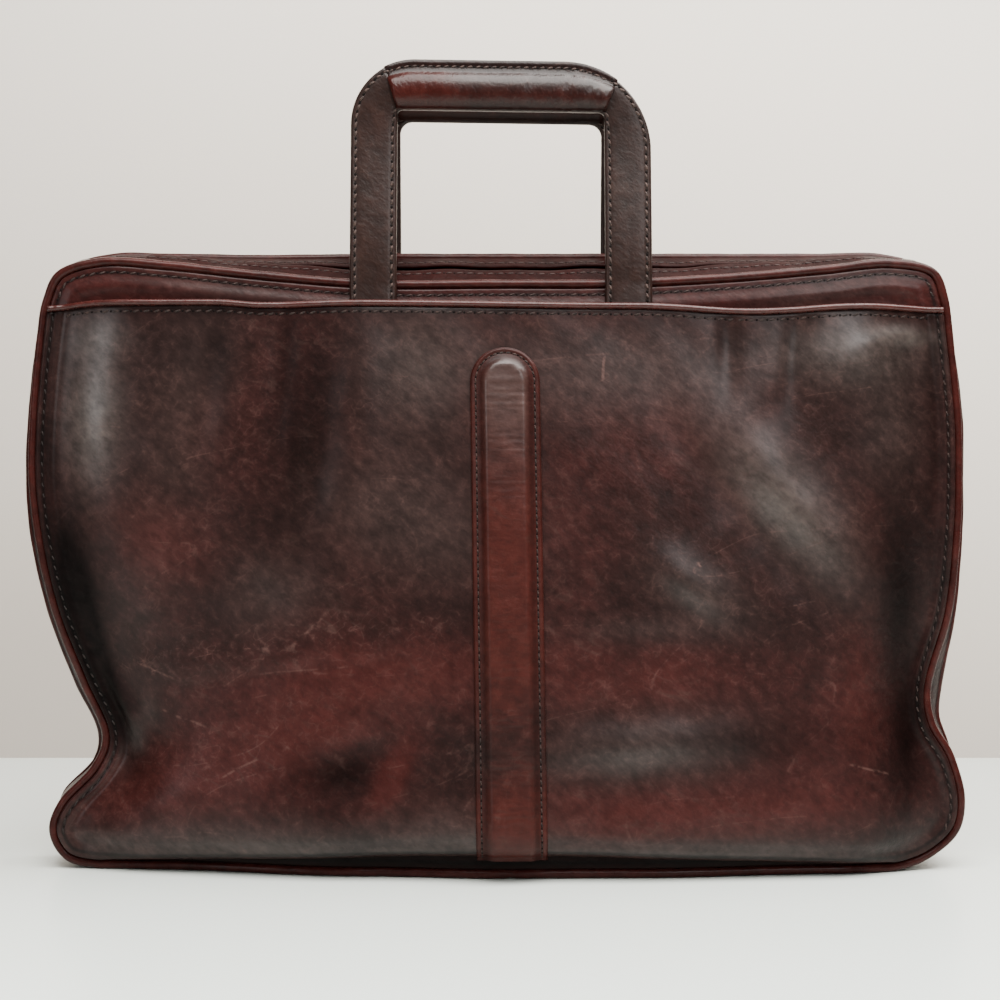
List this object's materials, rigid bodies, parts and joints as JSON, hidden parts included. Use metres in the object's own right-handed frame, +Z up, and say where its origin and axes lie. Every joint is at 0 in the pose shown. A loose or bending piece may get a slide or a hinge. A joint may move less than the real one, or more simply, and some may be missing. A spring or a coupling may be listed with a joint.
{
  "type": "document case",
  "caption": "Soft leather document case with piped edges, a full-width front pocket, a padded centre band and stand-up handles with rolled grips.",
  "frame": {"origin": "on the floor, below the middle of the whole case", "axes": "+Z up towards the handles, +X along the width to the right as seen from the pocket side, the pocket faces -Y"},
  "size_m": [0.4416, 0.093, 0.368],
  "materials": {
    "leather": "worn semi-gloss, dark oxblood brown",
    "dark_leather": "worn semi-gloss, darker brown",
    "piping": "semi-gloss, redder brown",
    "band_leather": "semi-gloss, red brown, wrinkled",
    "handle_leather": "worn semi-gloss, rubbed at the grip",
    "thread": "waxed thread"
  },
  "bodies": {
    "root": {"front_wall": "leather", "back_wall": "leather", "gusset": "dark_leather", "placket_front": "dark_leather", "placket_back": "dark_leather", "piping_front": "piping", "piping_back": "piping", "pocket_panel": "leather", "pocket_binding": "piping", "centre_band": "band_leather", "handle_front_leg_left": "handle_leather", "handle_front_leg_right": "handle_leather", "handle_front_grip": "handle_leather", "handle_rear_leg_left": "handle_leather", "handle_rear_leg_right": "handle_leather", "handle_rear_grip": "handle_leather"}
  },
  "joints": []
}
